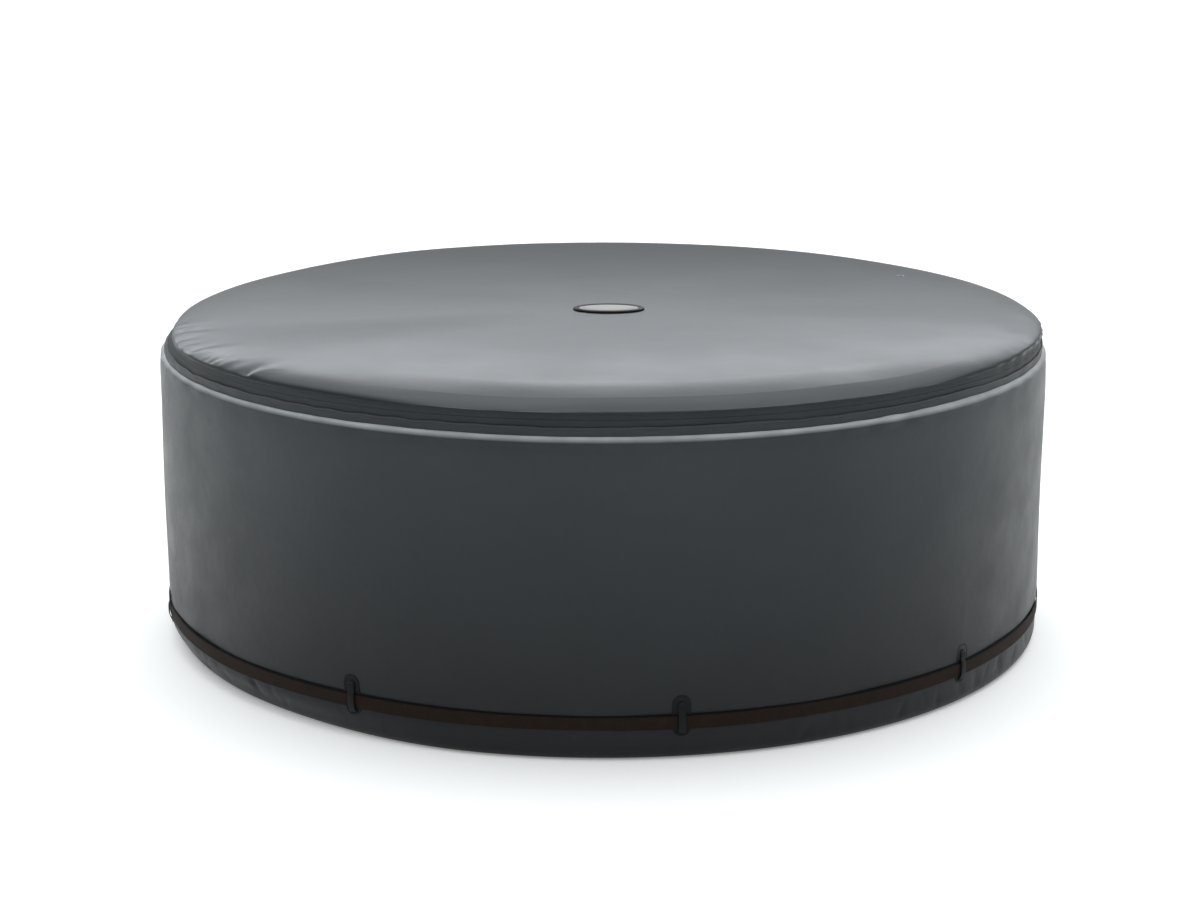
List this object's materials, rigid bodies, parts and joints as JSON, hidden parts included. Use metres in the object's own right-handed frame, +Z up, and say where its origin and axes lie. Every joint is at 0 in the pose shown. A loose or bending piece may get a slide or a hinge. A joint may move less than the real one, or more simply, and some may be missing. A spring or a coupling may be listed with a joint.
{
  "type": "inflatable hot tub",
  "caption": "Round inflatable hot tub with a fabric jacket, cinch strap, closed zip-on inflatable lid, and hose couplings at the back.",
  "frame": {"origin": "centre of the tub on the floor", "axes": "+Z up, -Y towards the front of the tub, +Y towards the hose couplings, +X to the right seen from the front"},
  "size_m": [2.17, 2.1963, 0.7791],
  "materials": {
    "jacket_fabric": "semi-satin laminated fabric",
    "patch_fabric": "semi-satin laminated fabric",
    "lid_fabric": "semi-satin laminated fabric",
    "liner_film": "smooth film",
    "strap_webbing": "ribbed webbing",
    "zip_tape": "woven tape",
    "zip_coil": "moulded coil",
    "zip_metal": "black enamel",
    "hook_loop_tape": "hook and loop pile",
    "pvc_film": "satin film",
    "pvc_web": "film",
    "fitting_plastic": "moulded plastic",
    "gasket_rubber": "matte rubber",
    "hose_plastic": "satin hose",
    "mat_foam": "embossed foam",
    "buckle_plastic": "moulded plastic",
    "buckle_steel": "brushed",
    "badge_rim": "dark bronze satin",
    "badge_face": "satin",
    "eyelet_metal": "polished"
  },
  "bodies": {
    "tub": {"air_hose": "hose_plastic", "air_pipe": "fitting_plastic", "bubble_channel": "pvc_film", "buckle_frame": "buckle_plastic", "buckle_pin": "buckle_steel", "buckle_spring": "buckle_steel", "cinch_strap": "strap_webbing", "closure_hook_tape": "hook_loop_tape", "drain_gaskets": "gasket_rubber", "drain_pipe": "fitting_plastic", "ground_mat": "mat_foam", "inlet_pipe": "fitting_plastic", "inlet_strainer": "fitting_plastic", "jacket_collar": "jacket_fabric", "jacket_hem": "jacket_fabric", "jacket_top_flange": "jacket_fabric", "jacket_wall": "jacket_fabric", "lid_hinge_strip": "jacket_fabric", "loop_patches": "patch_fabric", "lower_zip_coil": "zip_coil", "lower_zip_tape": "zip_tape", "outlet_pipe": "fitting_plastic", "outlet_strainer": "fitting_plastic", "pipe_gaskets": "gasket_rubber", "pipe_lock_nuts": "fitting_plastic", "port_rings": "jacket_fabric", "strap_loops": "patch_fabric", "tub_base_ring": "pvc_film", "tub_floor": "pvc_film", "tub_inner_wall": "pvc_film", "tub_outer_wall": "pvc_film", "tub_top_ring": "pvc_film", "wall_valve_body": "fitting_plastic", "wall_webs": "pvc_web"},
    "lid": {"lid_top_panel": "lid_fabric", "lid_liner": "liner_film", "lid_bladder_top": "pvc_film", "lid_bladder_bottom": "pvc_film", "lid_bladder_rim": "pvc_film", "lid_bladder_webs": "pvc_web", "lid_eyelet": "eyelet_metal", "badge_rim": "badge_rim", "badge_face": "badge_face", "lid_valve_body": "fitting_plastic", "upper_zip_tape": "zip_tape", "upper_zip_coil": "zip_coil"},
    "lid_valve_plug": {"lid_valve_plug": "fitting_plastic"},
    "zip_slider": {"zip_slider": "zip_metal"},
    "zip_pull": {"zip_pull": "zip_metal"},
    "buckle_cam": {"buckle_cam": "buckle_plastic"},
    "closure_flap": {"closure_flap": "jacket_fabric", "closure_loop_tape": "hook_loop_tape"},
    "wall_valve_cap": {"wall_valve_cap": "fitting_plastic"},
    "drain_plug": {"drain_plug": "gasket_rubber"},
    "drain_cap": {"drain_cap": "fitting_plastic"}
  },
  "joints": [
    {"name": "lid_hinge", "type": "hinge", "parent": "tub", "child": "lid", "pos_m": [0, 1.07, 0.7382], "axis": [-1, 0, 0], "range_deg": [0, 100], "deforming": ["lid_hinge_strip"]},
    {"name": "zip_travel", "type": "hinge", "parent": "tub", "child": "zip_slider", "pos_m": [0, 0, 0.738], "axis": [0, 0, 1], "range_deg": [0, 312]},
    {"name": "zip_pull_swing", "type": "hinge", "parent": "zip_slider", "child": "zip_pull", "pos_m": [-0.43663, 0.98069, 0.741], "axis": [0.9135, 0.4067, 0], "range_deg": [0, 80]},
    {"name": "buckle_lever", "type": "hinge", "parent": "tub", "child": "buckle_cam", "pos_m": [-0.66696, 0.86341, 0.083], "axis": [0, 0, 1], "range_deg": [0, 70], "stiffness_Nm_per_rad": 0.05, "springref_deg": -11.46},
    {"name": "closure_flap_hinge", "type": "hinge", "parent": "tub", "child": "closure_flap", "pos_m": [0.61836, 0.88976, 0.4], "axis": [0, 0, -1], "range_deg": [0, 150]},
    {"name": "wall_valve_cap_turn", "type": "hinge", "parent": "tub", "child": "wall_valve_cap", "pos_m": [0.4275, 0.74045, 0.7], "axis": [0, 0, 1], "range_deg": [0, 270]},
    {"name": "drain_plug_pull", "type": "slide", "parent": "tub", "child": "drain_plug", "axis": [0.866, -0.5, 0], "range_m": [0, 0.02]},
    {"name": "drain_cap_turn", "type": "hinge", "parent": "tub", "child": "drain_cap", "pos_m": [-0.94397, 0.545, 0.04], "axis": [-0.866, 0.5, 0], "range_deg": [0, 270]},
    {"name": "lid_valve_plug_pull", "type": "slide", "parent": "lid", "child": "lid_valve_plug", "axis": [0, 0, -1], "range_m": [0, 0.014]}
  ]
}
